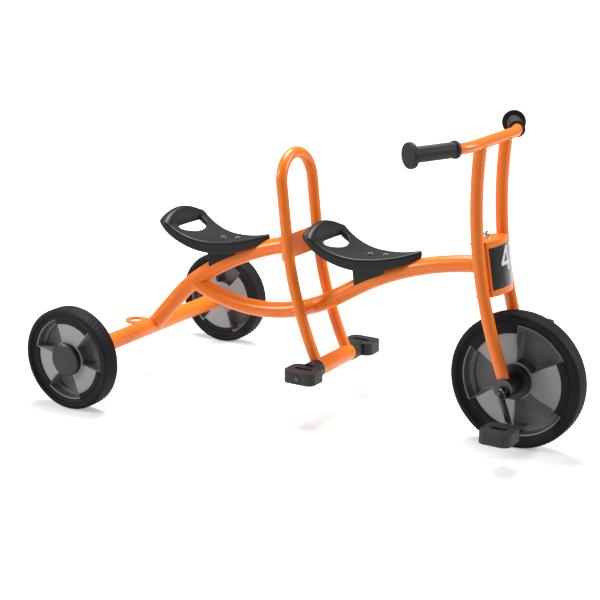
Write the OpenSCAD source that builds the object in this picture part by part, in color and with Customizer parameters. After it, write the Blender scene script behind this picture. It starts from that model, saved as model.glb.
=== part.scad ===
// Tandem tricycle for two children: steered front wheel with pedals on its axle,
// two rear wheels on a rod, two saddles on bent tubes, a hand hoop with foot pegs.
// +X is forward, +Y is the rider's left, +Z is up.  The origin lies on the floor
// below the middle of the overall length.  All sizes are in millimetres.

/* [Overall] */
// Distance between the rear and the front axle
wheelbase = 896; // [880:1:1080]
// Distance between the centre planes of the rear wheels
track = 571; // [470:1:690]

/* [Rear wheels] */
// Radius of the rear tyres
rear_tyre_r = 110; // [100:1:132]
// Width of the rear tyres
rear_tyre_w = 42; // [36:1:50]
// Radius of the rear rims, where the tyre sits
rear_rim_r = 88; // [76:1:94]
// Outer radius of the flat sectors that the tyre leaves bare
rear_flat_r = 77; // [66:1:80]

/* [Front wheel] */
// Radius of the front tyre
front_tyre_r = 138; // [115:1:166]
// Width of the front tyre
front_tyre_w = 44; // [38:1:52]
// Radius of the front rim, where the tyre sits
front_rim_r = 114; // [95:1:118]
// Outer radius of the flat sectors of the front rim
front_flat_r = 97; // [84:1:104]

/* [Wheel parts] */
// Thickness of the rims across the wheel
rim_w = 26; // [22:1:34]
// Thickness of the rim floors and spokes
rim_web = 3.5; // [2.5:0.5:5]
// Height of the tyre lip over the flat sectors
tyre_lip = 3; // [2:0.5:5]
// Radius of the rounded tyre shoulders
shoulder_r = 8; // [5:1:12]
// Radius of the hub caps and of the front hub flanges
hub_cap_r = 35; // [30:1:40]
// Diameter of the rear axle rod
rod_d = 12; // [10:0.5:16]
// Radial running clearance of every shaft in its bush
run_gap = 0.05; // [0.02:0.01:0.1]
// Wall of every plain bush
bush_wall = 3; // [2:0.5:5]
// Gap between parts that turn past each other
side_gap = 0.5; // [0.3:0.1:1.5]

/* [Frame tubes] */
// Diameter of the arch, main and foot tubes
frame_tube_d = 36; // [31:1:43]
// Diameter of the rear axle tube
axle_tube_d = 37; // [32:1:45]
// Wall of the frame tubes
tube_wall = 2; // [1.5:0.1:3]
// Angle of the arch tube where it leaves the rear axle
arch_start_angle = 47; // [43:1:51]
// Straight length at the rear end of the arch tube
arch_straight = 115; // [100:1:130]
// Bend of the arch tube before the main tube meets it
main_branch_bend = 9; // [6:1:12]
// Downward angle of the main tube where it leaves the arch tube
main_dip_angle = 22.5; // [19:0.5:26]
// Upward angle of the main tube in its straight part
main_rise_angle = 30.5; // [27:0.5:33]
// Length of that straight part
main_straight = 55; // [40:1:75]
// Upward angle of the main tube at the head tube
main_end_angle = 5; // [3:0.5:8]

/* [Hoop and foot rest] */
// Distance of the hoop's top from the rear axle, along the floor
hoop_x = 386; // [370:1:440]
// Height of the centre of the hoop's top bend above the rear axle
hoop_rise = 372; // [330:1:440]
// Diameter of the hoop tube
hoop_tube_d = 24; // [20:1:28]
// Distance of each hoop leg from the middle plane
hoop_half = 60; // [52:1:72]
// Lean of the hoop's upper part
hoop_lean = 6; // [2:1:10]
// Bend radius of the hoop legs, seen from the side
hoop_leg_bend_r = 790; // [700:10:950]
// Height of the bridge plate between the hoop legs
bridge_h = 50; // [42:1:60]
// Thickness of the bridge plate
bridge_t = 6; // [4:0.5:10]
// Length of the foot tube
foot_tube_l = 151; // [146:1:190]
// Length of a foot peg along the rider's way
peg_l = 72; // [60:1:86]
// Width of a foot peg
peg_w = 56; // [46:1:70]
// Thickness of a foot peg
peg_h = 26; // [20:1:32]

/* [Saddles] */
// Distance of the front saddle's low point from the rear axle
front_seat_x = 557; // [540:1:620]
// Distance of the rear saddle's low point from the rear axle
rear_seat_x = 194; // [180:1:215]
// Height of the saddle's low point above the middle of its tube
seat_rise = 59; // [52:1:70]
// Width of the saddle at its rear
seat_w = 148; // [124:1:176]
// Thickness of the saddle's skirt
seat_skirt = 26; // [20:1:32]
// Width of the hand slot in the saddle
slot_w = 92; // [76:1:104]
// Width of the saddle bracket
bracket_w = 34; // [28:1:42]

/* [Steering and fork] */
// Rake of the steering axis, away from upright
rake = 9; // [7:0.5:12]
// Distance of the front axle ahead of the steering axis
axle_lead = 36; // [30:1:42]
// Height of the middle of the head tube above the front tyre
head_above_tyre = 84; // [78:1:100]
// Length of the head tube
head_tube_l = 92; // [80:1:104]
// Diameter of the fork tubes
fork_tube_d = 25; // [22:1:28]
// Distance of each fork tube from the middle plane
fork_half = 58; // [54:1:66]
// Distance of the fork tubes behind the front axle
fork_setback = 0; // [0:1:4]
// Lean of the fork tubes in their straight part
fork_lean = 19; // [17:0.5:21]
// Bend radius of the upper part of the fork tubes
fork_bend_r = 914; // [800:2:1000]
// Height of the handlebar above the front axle
bar_rise = 470; // [440:1:540]
// Diameter of the steering bolt
bolt_d = 12; // [10:0.5:14]
// Thickness of the head's plates
head_plate_t = 4; // [3:0.5:6]
// Radius of the curved head front
head_front_r = 100; // [90:1:120]

/* [Handlebar] */
// Diameter of the handlebar
bar_d = 22; // [20:1:25]
// Straight half width of the middle of the handlebar
bar_mid_half = 83; // [76:1:98]
// Bend radius of the handlebar
bar_bend_r = 120; // [80:5:160]
// Sweep of the handlebar's ends
bar_sweep = 27; // [18:1:34]
// Droop of the whole handlebar
bar_droop = 2; // [0:1:10]
// Length of a grip without its flange
grip_l = 100; // [88:1:120]
// Diameter of a grip
grip_d = 30; // [27:1:34]
// Diameter of the flange at the grip's end
grip_flange_d = 49; // [40:1:56]

/* [Cranks and pedals] */
// Diameter of the crank axle
crank_d = 13; // [11:0.5:15]
// Crank length
crank_r = 72; // [60:1:86]
// Lean of the right crank forward from straight down, at rest
crank_lean = 20; // [0:1:40]
// Bend radius of the crank rod
crank_bend_r = 14; // [11:1:18]
// Length of a pedal along the rider's way
pedal_l = 66; // [56:1:80]
// Width of a pedal
pedal_w = 64; // [54:1:76]
// Thickness of a pedal
pedal_h = 25; // [20:1:32]

/* [Hidden] */
$fn = 64;

orange_paint = "darkorange";
seat_black = "#1b1b1d";
rubber_black = "#242424";
rim_grey = "#8d8f91";
steel_black = "#151515";
zinc = "silver";

// ---- heights and places ----
rear_z = rear_tyre_r;
front_z = front_tyre_r;
mid_x = (wheelbase + front_tyre_r - rear_tyre_r) / 2;
tube_r = frame_tube_d / 2;
main_r = tube_r - 0.5;
axle_tube_r = axle_tube_d / 2;
hoop_r = hoop_tube_d / 2;
fork_r = fork_tube_d / 2;
rod_r = rod_d / 2;
bolt_r = bolt_d / 2;
crank_rod_r = crank_d / 2;
bar_r = bar_d / 2;

// ---- plane curves in the middle plane: points are [x, z], headings in degrees ----
function along(heading) = [cos(heading), sin(heading)];
function bend_centre(p, heading, r, turn) = p + sign(turn) * r * [-sin(heading), cos(heading)];
function bend_end(p, heading, r, turn) =
    bend_centre(p, heading, r, turn) + sign(turn) * r * [sin(heading + turn), -cos(heading + turn)];
// Way from the start to the end of a bend of radius 1
function unit_bend(heading, turn) = bend_end([0, 0], heading, 1, turn);
// Two radii r1, r2 for which r1 * a + r2 * b reaches the wanted way
function two_radii(a, b, way) =
    [way[0] * b[1] - way[1] * b[0], a[0] * way[1] - a[1] * way[0]] / (a[0] * b[1] - a[1] * b[0]);
// Height of a circle's upper or lower half at x
function circle_z(c, r, x, side) = c[1] + side * sqrt(r * r - (x - c[0]) * (x - c[0]));

// Rear arch tube: straight, then two bends up to the bridge plate
arch_mid_angle = 35.5;
arch_end_angle = 11;
arch_start = [0, rear_z];
arch_end = [hoop_x - 3, rear_z + 238];
arch_tail = 6;
arch_bend_start = arch_start + arch_straight * along(arch_start_angle);
arch_turn_1 = arch_mid_angle - arch_start_angle;
arch_turn_2 = arch_end_angle - arch_mid_angle;
arch_radii = two_radii(unit_bend(arch_start_angle, arch_turn_1), unit_bend(arch_mid_angle, arch_turn_2),
                       arch_end - arch_bend_start);
arch_bend_mid = bend_end(arch_bend_start, arch_start_angle, arch_radii[0], arch_turn_1);
arch_centre_2 = bend_centre(arch_bend_mid, arch_mid_angle, arch_radii[1], arch_turn_2);
function arch_z(x) = circle_z(arch_centre_2, arch_radii[1], x, 1);

// Steering axis and head
function axis_x(z) = wheelbase - axle_lead - (z - front_z) * tan(rake);
head_z = 2 * front_tyre_r + head_above_tyre;
head_x = axis_x(head_z);
head_half = head_tube_l / 2;
head_tube_r = tube_r;
bush_flange_t = 3.5;
head_inner_half = head_half + bush_flange_t + side_gap;
head_outer_half = head_inner_half + head_plate_t;

// Main tube: leaves the arch downward, bends up, runs straight, bends level into the head tube
branch_point = bend_end(arch_bend_start, arch_start_angle, arch_radii[0], -main_branch_bend);
main_lead_in = 24;
main_lead_out = 30;
main_join_up = 1;
main_start = branch_point + main_lead_in * along(-main_dip_angle);
main_goal = [head_x - main_join_up * sin(rake), head_z + main_join_up * cos(rake)];
main_stop = main_goal - main_lead_out * along(main_end_angle);
main_turn_1 = main_dip_angle + main_rise_angle;
main_turn_2 = main_end_angle - main_rise_angle;
main_radii = two_radii(unit_bend(-main_dip_angle, main_turn_1), unit_bend(main_rise_angle, main_turn_2),
                       main_stop - main_start - main_straight * along(main_rise_angle));
main_centre_1 = bend_centre(main_start, -main_dip_angle, main_radii[0], main_turn_1);
main_up_start = bend_end(main_start, -main_dip_angle, main_radii[0], main_turn_1);
main_up_end = main_up_start + main_straight * along(main_rise_angle);
main_centre_2 = bend_centre(main_up_end, main_rise_angle, main_radii[1], main_turn_2);
function main_z(x) =
    x < main_up_start[0] ? circle_z(main_centre_1, main_radii[0], x, -1)
    : x < main_up_end[0] ? main_up_start[1] + (x - main_up_start[0]) * tan(main_rise_angle)
    : circle_z(main_centre_2, main_radii[1], x, 1);

// Hoop legs, from the top bend down to the foot tube
hoop_top = [hoop_x, rear_z + hoop_rise];
hoop_straight = 108;
hoop_leg_turn = 18.5;
hoop_tail = 26;
hoop_heading = hoop_lean - 90;
hoop_bend_start = hoop_top + hoop_straight * along(hoop_heading);
hoop_bend_stop = bend_end(hoop_bend_start, hoop_heading, hoop_leg_bend_r, hoop_leg_turn);
hoop_centre = bend_centre(hoop_bend_start, hoop_heading, hoop_leg_bend_r, hoop_leg_turn);
foot_point = hoop_bend_stop + hoop_tail * along(hoop_heading + hoop_leg_turn);
hoop_path = [[hoop_straight, 0], [hoop_leg_bend_r, hoop_leg_turn], [hoop_tail, 0]];
// Where the main tube passes between the hoop legs: two circles cross
cross_way = hoop_centre - main_centre_1;
cross_d = norm(cross_way);
cross_a = (cross_d * cross_d + main_radii[0] * main_radii[0] - hoop_leg_bend_r * hoop_leg_bend_r)
    / (2 * cross_d);
cross_h = sqrt(main_radii[0] * main_radii[0] - cross_a * cross_a);
cross_u = cross_way / cross_d;
cross_point = main_centre_1 + cross_a * cross_u + cross_h * [cross_u[1], -cross_u[0]];

// Fork tubes, from the axle up to the handlebar
fork_foot = [wheelbase - fork_setback, front_z];
fork_straight = 75;
fork_turn = -24.3;
fork_heading = 90 + fork_lean;
fork_bend_start = fork_foot + fork_straight * along(fork_heading);
fork_bend_end = bend_end(fork_bend_start, fork_heading, fork_bend_r, fork_turn);
bar_z = front_z + bar_rise;
fork_top_run = (bar_z - fork_bend_end[1]) / sin(fork_heading + fork_turn) - 4;
bar_x = fork_bend_end[0] + (fork_top_run + 4) * cos(fork_heading + fork_turn);
fork_path = [[fork_straight, 0], [fork_bend_r, fork_turn], [fork_top_run, 0]];

// Wheels and axles
rim_half = rim_w / 2;
hub_out = 25;
rear_hub_half = rear_tyre_w / 2;
rod_bush_r = rod_r + run_gap + bush_wall;
axle_tube_half = track / 2 - rear_hub_half - 7;
plug_l = 24;
plug_flange_t = 3;
nut_t = 6;
nut_z = rim_half + side_gap;
cap_wall = 3;
front_hub_half = fork_half - 14;
housing_half_l = 14;
housing_r = 20;
housing_in = fork_half - housing_half_l + side_gap;
housing_out = fork_half + housing_half_l;
housing_bush_r = crank_rod_r + run_gap + bush_wall;
crank_y = housing_out + side_gap + crank_bend_r + 1;
pedal_in = crank_y + crank_bend_r + 4;
pin_r = 5;
pedal_bore_r = pin_r + run_gap;
pin_end = pedal_in + pedal_w - 8;

// ---- placing ----
module frame_place() { translate([-mid_x, 0, 0]) children(); }
// Local +Z runs up the steering axis, from the middle of the head tube
module on_steering_axis() { translate([head_x, 0, head_z]) rotate([0, -rake, 0]) children(); }
// Local +Z points to the rider's right, from the centre of a wheel
module on_wheel(x, y, z) { translate([x, y, z]) rotate([90, 0, 0]) children(); }
module both_sides() { children(); mirror([0, 1, 0]) children(); }

// ---- tubes in the plane y = 0 ----
module ring_2d(r, wall) {
    difference() {
        circle(r = r);
        if (wall > 0) circle(r = r - wall);
    }
}
// A run of straight lengths [length, 0] and bends [radius, turn].  Every second piece is slimmer
// by joint_step and reaches joint_lap into its neighbours, so that the run is one closed solid.
joint_step = 0.05;
joint_lap = 0.6;
module tube_run(p, heading, path, r, wall, i = 0) {
    if (i < len(path)) {
        size = path[i][0];
        turn = path[i][1];
        step = i % 2 == 1 ? joint_step : 0;
        lap = i % 2 == 1 ? joint_lap : 0;
        if (turn == 0) {
            translate([p[0], 0, p[1]]) rotate([0, 90 - heading, 0]) translate([0, 0, -lap])
                linear_extrude(size + 2 * lap) ring_2d(r - step, wall > 0 ? wall - 2 * step : 0);
            tube_run(p + size * along(heading), heading, path, r, wall, i + 1);
        } else {
            c = bend_centre(p, heading, size, turn);
            lap_turn = lap / size * 180 / PI;
            first = (turn > 0 ? heading - 90 : heading + 90 + turn) - lap_turn;
            translate([c[0], 0, c[1]]) rotate([90, 0, 0]) rotate([0, 0, first])
                rotate_extrude(angle = abs(turn) + 2 * lap_turn, $fn = 120)
                    translate([size, 0]) ring_2d(r - step, wall > 0 ? wall - 2 * step : 0);
            tube_run(bend_end(p, heading, size, turn), heading + turn, path, r, wall, i + 1);
        }
    }
}
module across(p, r, l) { translate([p[0], l / 2, p[1]]) rotate([90, 0, 0]) cylinder(r = r, h = l); }

module arch_run(r, wall) {
    tube_run(arch_start, arch_start_angle,
             [[arch_straight, 0], [arch_radii[0], arch_turn_1], [arch_radii[1], arch_turn_2], [arch_tail, 0]],
             r, wall);
}
module main_run(r, wall) {
    tube_run(branch_point, -main_dip_angle,
             [[main_lead_in, 0], [main_radii[0], main_turn_1], [main_straight, 0],
              [main_radii[1], main_turn_2], [main_lead_out, 0]], r, wall);
}
module hoop_leg(r, wall) {
    translate([0, -hoop_half, 0]) tube_run(hoop_top, hoop_heading, hoop_path, r, wall);
}
module fork_leg(r, wall) {
    translate([0, -fork_half, 0]) tube_run(fork_foot, fork_heading, fork_path, r, wall);
}

// ---- frame ----
module rear_axle_tube() {
    color(orange_paint) frame_place() difference() {
        across(arch_start, axle_tube_r, 2 * axle_tube_half);
        across(arch_start, axle_tube_r - tube_wall, 2 * axle_tube_half + 2);
    }
}

eye_r = 14;
eye_band = 10;
eye_t = 5;
eye_x = -axle_tube_r - eye_r - 18;
module tow_eye() {
    color(orange_paint) frame_place() difference() {
        translate([0, 0, rear_z]) union() {
            translate([eye_x, 0, 0]) cylinder(r = eye_r + eye_band, h = eye_t);
            translate([eye_x, -eye_r - eye_band, 0]) cube([-eye_x, 2 * (eye_r + eye_band), eye_t]);
        }
        translate([eye_x, 0, rear_z - 1]) cylinder(r = eye_r, h = eye_t + 2);
        across(arch_start, axle_tube_r, 2 * axle_tube_half);
    }
}

module rear_arch_tube() {
    color(orange_paint) frame_place() difference() {
        arch_run(tube_r, tube_wall);
        across(arch_start, axle_tube_r, 2 * axle_tube_half);
        bridge_block(40);
    }
}

module main_tube() {
    color(orange_paint) frame_place() difference() {
        main_run(main_r, tube_wall);
        arch_run(tube_r, 0);
        on_steering_axis() translate([0, 0, -head_half]) cylinder(r = head_tube_r, h = head_tube_l);
    }
}

hoop_lap = joint_lap / hoop_half * 180 / PI;
module hoop_tube() {
    color(orange_paint) frame_place() difference() {
        union() {
            both_sides() hoop_leg(hoop_r, tube_wall);
            translate([hoop_top[0], 0, hoop_top[1]]) rotate([0, -hoop_lean, 0]) rotate([90, 0, 90])
                rotate([0, 0, -hoop_lap]) rotate_extrude(angle = 180 + 2 * hoop_lap, $fn = 120)
                    translate([hoop_half, 0]) ring_2d(hoop_r - joint_step, tube_wall - 2 * joint_step);
        }
        across(foot_point, tube_r, foot_tube_l);
        both_sides() on_wheel(foot_point[0], 0, foot_point[1]) peg_sleeve();
    }
}

// The bridge plate's own block; a deeper one clears what ends on its rear face
module bridge_block(depth) {
    translate([arch_end[0], 0, arch_end[1]]) rotate([0, -hoop_lean - 1, 0])
        translate([0, -hoop_half, -bridge_h / 2]) cube([depth, 2 * hoop_half, bridge_h]);
}
module hoop_bridge_plate() {
    color(orange_paint) frame_place() difference() {
        bridge_block(bridge_t);
        both_sides() hoop_leg(hoop_r, 0);
    }
}

spacer_r = 12.5;
module hoop_spacers() {
    color(orange_paint) frame_place() difference() {
        across(cross_point, spacer_r, 2 * hoop_half);
        across(cross_point, spacer_r - tube_wall, 2 * hoop_half + 2);
        both_sides() hoop_leg(hoop_r, 0);
        main_run(main_r, 0);
    }
}

module foot_tube() {
    color(orange_paint) frame_place() difference() {
        across(foot_point, tube_r, foot_tube_l);
        across(foot_point, tube_r - tube_wall, foot_tube_l + 2);
    }
}

head_bush_r = head_tube_r - tube_wall;
module head_tube() {
    color(orange_paint) frame_place() on_steering_axis() difference() {
        translate([0, 0, -head_half]) cylinder(r = head_tube_r, h = head_tube_l);
        translate([0, 0, -head_half - 1]) cylinder(r = head_bush_r, h = head_tube_l + 2);
    }
}

// Flanged bush pressed into one end of the head tube
module head_bush() {
    bush_l = 22;
    difference() {
        union() {
            translate([0, 0, head_half - bush_l]) cylinder(r = head_bush_r, h = bush_l);
            translate([0, 0, head_half]) cylinder(r = head_tube_r, h = bush_flange_t);
        }
        translate([0, 0, head_half - bush_l - 1]) cylinder(r = bolt_r + run_gap, h = bush_l + bush_flange_t + 2);
    }
}
module upper_head_bush() { color(steel_black) frame_place() on_steering_axis() head_bush(); }
module lower_head_bush() {
    color(steel_black) frame_place() on_steering_axis() mirror([0, 0, 1]) head_bush();
}

// ---- rear axle ----
module rear_axle_rod() {
    rod_half = track / 2 + hub_out - cap_wall - 2;
    color(zinc) frame_place() across(arch_start, rod_r, 2 * rod_half);
}

// Plug pressed into each end of the axle tube, carrying the rod
module axle_tube_plugs() {
    color(steel_black) frame_place() both_sides()
        on_wheel(0, -axle_tube_half, rear_z) difference() {
            union() {
                translate([0, 0, -plug_l]) cylinder(r = axle_tube_r - tube_wall, h = plug_l);
                cylinder(r = axle_tube_r, h = plug_flange_t);
            }
            translate([0, 0, -plug_l - 1]) cylinder(r = rod_r, h = plug_l + plug_flange_t + 2);
        }
}

module rear_axle_nuts() {
    color(zinc) frame_place() both_sides()
        on_wheel(0, -track / 2, rear_z) translate([0, 0, nut_z]) difference() {
            union() {
                cylinder(r = rod_r + 5, h = 1.5);
                translate([0, 0, 1.5]) cylinder(r = rod_r * 1.7, h = nut_t, $fn = 6);
            }
            translate([0, 0, -1]) cylinder(r = rod_r, h = nut_t + 4);
        }
}

// ---- wheels: local +Z is the outer side ----
hub_barrel_r = hub_cap_r + 3;
// One hollow between two spokes, open to +Z
module rim_pocket(flat_r, rim_r, span) {
    floor_z = rim_web - rim_half;
    rotate([0, 0, -span / 2]) rotate_extrude(angle = span, $fn = 120) polygon([
        [hub_barrel_r, floor_z], [flat_r - 2, floor_z], [flat_r, -rim_half / 3],
        [flat_r + (rim_r - flat_r) / 3, -rim_half / 3 + 1], [rim_r - 3, rim_half + 1],
        [hub_barrel_r, rim_half + 1]
    ]);
}
// Rim with three hollows on each side; phase turns the flats of the outer side
module wheel_rim(flat_r, rim_r, bore_r, phase) {
    span = 60 - 2 * asin(rim_web / 2 / flat_r) - 2;
    difference() {
        translate([0, 0, -rim_half]) cylinder(r = rim_r, h = rim_w, $fn = 128);
        for (k = [0, 1, 2]) {
            rotate([0, 0, phase + 60 + 120 * k]) rim_pocket(flat_r, rim_r, span);
            rotate([0, 0, phase + 120 * k]) mirror([0, 0, 1]) rim_pocket(flat_r, rim_r, span);
        }
        translate([0, 0, -rim_half - 1]) cylinder(r = bore_r, h = rim_w + 2);
    }
}

// Tyre section: rounded shoulders, sloping side walls down to the rim's seat
module tyre_2d(tyre_r, tyre_w, rim_r) {
    half = tyre_w / 2;
    shoulder = [for (a = [0 : 15 : 90]) [
        tyre_r - shoulder_r + shoulder_r * cos(a), half - shoulder_r + shoulder_r * sin(a)
    ]];
    upper = concat(shoulder, [[tyre_r - 0.6 * (tyre_r - rim_r), half - 1], [rim_r + 3, rim_half + tyre_lip],
                              [rim_r, rim_half + tyre_lip]]);
    lower = [for (i = [len(upper) - 1 : -1 : 0]) [upper[i][0], -upper[i][1]]];
    polygon(concat(upper, lower));
}
// The tyre covers the flats down to flat_r and leaves the hollows open
module wheel_tyre(tyre_r, tyre_w, rim_r, flat_r, phase) {
    rotate_extrude($fn = 180) tyre_2d(tyre_r, tyre_w, rim_r);
    for (k = [0, 1, 2]) {
        rotate([0, 0, phase - 30 + 120 * k]) lip_sector(flat_r, rim_r);
        rotate([0, 0, phase + 30 + 120 * k]) mirror([0, 0, 1]) lip_sector(flat_r, rim_r);
    }
}
module lip_sector(flat_r, rim_r) {
    translate([0, 0, rim_half]) rotate_extrude(angle = 60, $fn = 180)
        translate([flat_r, 0]) square([rim_r + lip_lap - flat_r, tyre_lip - lip_step]);
}

lip_lap = 1.5;
lip_step = 0.5;
rear_phase = 80;
front_phase = 0;
module rear_tyre() {
    wheel_tyre(rear_tyre_r, rear_tyre_w, rear_rim_r, rear_flat_r, rear_phase);
}
module rear_rim() { wheel_rim(rear_flat_r, rear_rim_r, rod_bush_r, rear_phase); }
// Clip-on cap over the axle nut
module hub_cap() {
    cap_in = rim_half;
    difference() {
        union() {
            translate([0, 0, cap_in]) cylinder(r = hub_cap_r, h = hub_out - cap_in - 2);
            translate([0, 0, hub_out - 2]) cylinder(r1 = hub_cap_r, r2 = hub_cap_r - 3, h = 2);
        }
        translate([0, 0, cap_in - 1]) cylinder(r = hub_cap_r - 8, h = hub_out - cap_in - cap_wall + 1);
    }
}
// Bush through the rim, flanged towards the axle tube
module wheel_bush() {
    flange_z = track / 2 - axle_tube_half - plug_flange_t - side_gap;
    difference() {
        union() {
            translate([0, 0, -rim_half]) cylinder(r = rod_bush_r, h = rim_w);
            translate([0, 0, -flange_z]) cylinder(r = rod_bush_r + 4, h = flange_z - rim_half);
        }
        translate([0, 0, -flange_z - 1]) cylinder(r = rod_r + run_gap, h = flange_z + rim_half + 2);
    }
}

module right_wheel_place() { frame_place() on_wheel(0, -track / 2, rear_z) children(); }
module left_wheel_place() { mirror([0, 1, 0]) right_wheel_place() children(); }
module right_rear_tyre() { color(rubber_black) right_wheel_place() rear_tyre(); }
module left_rear_tyre() { color(rubber_black) left_wheel_place() rear_tyre(); }
module right_rear_rim() { color(rim_grey) right_wheel_place() rear_rim(); }
module left_rear_rim() { color(rim_grey) left_wheel_place() rear_rim(); }
module right_hub_cap() { color(steel_black) right_wheel_place() hub_cap(); }
module left_hub_cap() { color(steel_black) left_wheel_place() hub_cap(); }
module right_wheel_bushes() { color(steel_black) right_wheel_place() wheel_bush(); }
module left_wheel_bushes() { color(steel_black) left_wheel_place() wheel_bush(); }

module front_place() { frame_place() on_wheel(wheelbase, 0, front_z) children(); }
module front_tyre() {
    color(rubber_black) front_place()
        wheel_tyre(front_tyre_r, front_tyre_w, front_rim_r, front_flat_r, front_phase);
}
module front_rim() {
    color(rim_grey) front_place() wheel_rim(front_flat_r, front_rim_r, crank_rod_r, front_phase);
}
// Steel flange and boss that clamp the rim on the crank axle
module hub_flange() {
    difference() {
        union() {
            translate([0, 0, rim_half]) cylinder(r = hub_cap_r, h = hub_out - rim_half);
            translate([0, 0, hub_out]) cylinder(r = 22, h = front_hub_half - hub_out);
        }
        translate([0, 0, rim_half - 1]) cylinder(r = crank_rod_r, h = front_hub_half + 2);
    }
}
module right_hub_flange() { color(steel_black) front_place() hub_flange(); }
module left_hub_flange() { color(steel_black) front_place() mirror([0, 0, 1]) hub_flange(); }

// ---- crank axle: one rod bent four times; local +X is the way of the right crank ----
module crank_half() {
    arm = crank_r - 2 * crank_bend_r;
    inner_l = crank_y - crank_bend_r;
    outer_z = crank_y + crank_bend_r;
    cylinder(r = crank_rod_r, h = inner_l);
    translate([crank_bend_r, 0, inner_l]) rotate([90, 0, 0]) rotate([0, 0, 90])
        rotate_extrude(angle = 90) translate([crank_bend_r, 0]) circle(r = crank_rod_r);
    translate([crank_bend_r, 0, crank_y]) rotate([0, 90, 0]) cylinder(r = crank_rod_r, h = arm);
    translate([crank_r - crank_bend_r, 0, outer_z]) rotate([90, 0, 0]) rotate([0, 0, -90])
        rotate_extrude(angle = 90) translate([crank_bend_r, 0]) circle(r = crank_rod_r);
    translate([crank_r, 0, outer_z]) cylinder(r = crank_rod_r, h = pedal_in - side_gap - outer_z);
    translate([crank_r, 0, outer_z]) cylinder(r = pin_r, h = pin_end - outer_z);
}
module crank_axle() {
    color(steel_black) front_place() rotate([0, 0, crank_lean - 90]) {
        crank_half();
        rotate([0, 180, 0]) crank_half();
    }
}

// ---- pedals and foot pegs: local +X forward, local +Y up, local +Z away from the middle ----
module right_pedal_place() {
    frame_place() on_wheel(wheelbase + crank_r * sin(crank_lean), 0, front_z - crank_r * cos(crank_lean))
        children();
}
module left_pedal_place() {
    frame_place() mirror([0, 1, 0])
        on_wheel(wheelbase - crank_r * sin(crank_lean), 0, front_z + crank_r * cos(crank_lean)) children();
}
module round_block_2d(l, w, corner) {
    square([l - 2 * corner, w], center = true);
    square([l, w - 2 * corner], center = true);
    for (sx = [-1, 1]) for (sy = [-1, 1])
        translate([sx * (l / 2 - corner), sy * (w / 2 - corner)]) circle(r = corner);
}
// Block from z = 0 to z = w, as deep as h along Y, with a slot sunk in its upper face
module tread_block(l, w, h) {
    slot_deep = 5;
    translate([0, h / 2, w / 2]) rotate([90, 0, 0]) difference() {
        linear_extrude(h) round_block_2d(l, w, 16);
        translate([0, 0, -1]) linear_extrude(slot_deep + 1) round_block_2d(l - 32, 10, 4.9);
    }
}
pedal_cap_l = pedal_w - (pin_end - pedal_in) - side_gap;
module pedal() {
    translate([0, 0, pedal_in]) difference() {
        tread_block(pedal_l, pedal_w, pedal_h);
        translate([0, 0, -1]) cylinder(r = pedal_bore_r, h = pedal_w - pedal_cap_l + 1);
        translate([0, 0, pedal_w - pedal_cap_l]) cylinder(r = pin_r + 3, h = pedal_cap_l + 1);
    }
}
module pedal_cap() {
    translate([0, 0, pedal_in + pedal_w - pedal_cap_l]) cylinder(r = pin_r + 3, h = pedal_cap_l);
}
module right_pedal() { color(rubber_black) right_pedal_place() pedal(); }
module left_pedal() { color(rubber_black) left_pedal_place() pedal(); }
module right_pedal_cap() { color(zinc) right_pedal_place() pedal_cap(); }
module left_pedal_cap() { color(zinc) left_pedal_place() pedal_cap(); }

peg_bolt_r = 4;
peg_up = 1;
peg_sleeve_l = 9;
peg_boss_l = 17;
peg_plug_l = 20;
module peg_place() { frame_place() on_wheel(foot_point[0], 0, foot_point[1]) children(); }
peg_end = foot_tube_l / 2 + peg_boss_l + peg_w;
module peg_sleeve() {
    translate([0, 0, foot_tube_l / 2 - peg_sleeve_l]) cylinder(r = tube_r + 1.5, h = peg_sleeve_l + peg_boss_l + 8);
}
module foot_peg() {
    difference() {
        union() {
            translate([0, 0, foot_tube_l / 2 - peg_plug_l]) cylinder(r = tube_r - tube_wall, h = peg_plug_l + 1);
            difference() {
                peg_sleeve();
                cylinder(r = tube_r, h = foot_tube_l / 2);
            }
            translate([0, peg_up, foot_tube_l / 2 + peg_boss_l]) tread_block(peg_l, peg_w, peg_h);
        }
        translate([0, 0, foot_tube_l / 2 - peg_plug_l - 1]) cylinder(r = peg_bolt_r, h = peg_end);
        translate([0, 0, peg_end - 3]) cylinder(r = peg_bolt_r + 4, h = 8);
    }
}
module foot_peg_bolt() {
    translate([0, 0, foot_tube_l / 2 - peg_plug_l]) cylinder(r = peg_bolt_r, h = peg_end - 3 - foot_tube_l / 2 + peg_plug_l);
    translate([0, 0, peg_end - 3]) cylinder(r = peg_bolt_r + 3, h = 4, $fn = 6);
}
module right_foot_peg() { color(rubber_black) peg_place() foot_peg(); }
module left_foot_peg() { color(rubber_black) mirror([0, 1, 0]) peg_place() foot_peg(); }
module foot_peg_bolts() { color(zinc) both_sides() peg_place() foot_peg_bolt(); }

// ---- saddles: local origin at the low point of the top, +X forward, +Z up ----
seat_back_r = 153;
seat_front_r = 330;
skirt_back_r = 168;
skirt_front_r = 201;
skirt_low_x = 11;
seat_skin = 5;
seat_back = 121;
seat_nose = 124;
crest_h = 55;
crest_r = 134;
screw_r = 3;
screw_l = 17;
screw_places = [4, 40];
// Rise of a circle of radius r at the distance x from its lowest point
function sag(r, x) = r - sqrt(r * r - x * x);
function seat_top_z(x) = x < 0 ? sag(seat_back_r, x) : sag(seat_front_r, x);
function skirt_z(x) =
    sag(x < skirt_low_x ? skirt_back_r : skirt_front_r, x - skirt_low_x) - seat_skirt;
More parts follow.
